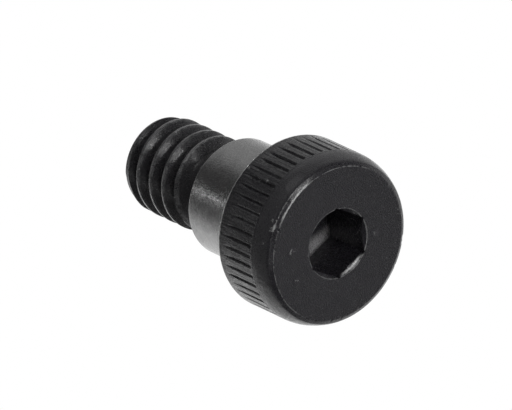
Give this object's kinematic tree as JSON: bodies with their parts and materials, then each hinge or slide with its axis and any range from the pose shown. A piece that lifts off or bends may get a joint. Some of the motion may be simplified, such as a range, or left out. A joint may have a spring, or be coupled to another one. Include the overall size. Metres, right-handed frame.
{
  "type": "shoulder bolt",
  "caption": "Short socket-head shoulder bolt: knurled round head with a hex key socket, ground shoulder, relieved neck and coarse threaded end, in black steel.",
  "frame": {"origin": "centre of the head's socket face, which the bolt stands on", "axes": "+Z along the bolt from the socket face to the threaded tip; a corner of the socket's hexagon points along -Y"},
  "size_m": [0.011, 0.011, 0.0179],
  "materials": {
    "black_steel": "black oxide on alloy steel, satin, worn bright on the edges of the head and the thread crests, thinner and greyer on the ground shoulder"
  },
  "bodies": {
    "root": {"shoulder_bolt": "black_steel"}
  },
  "joints": []
}
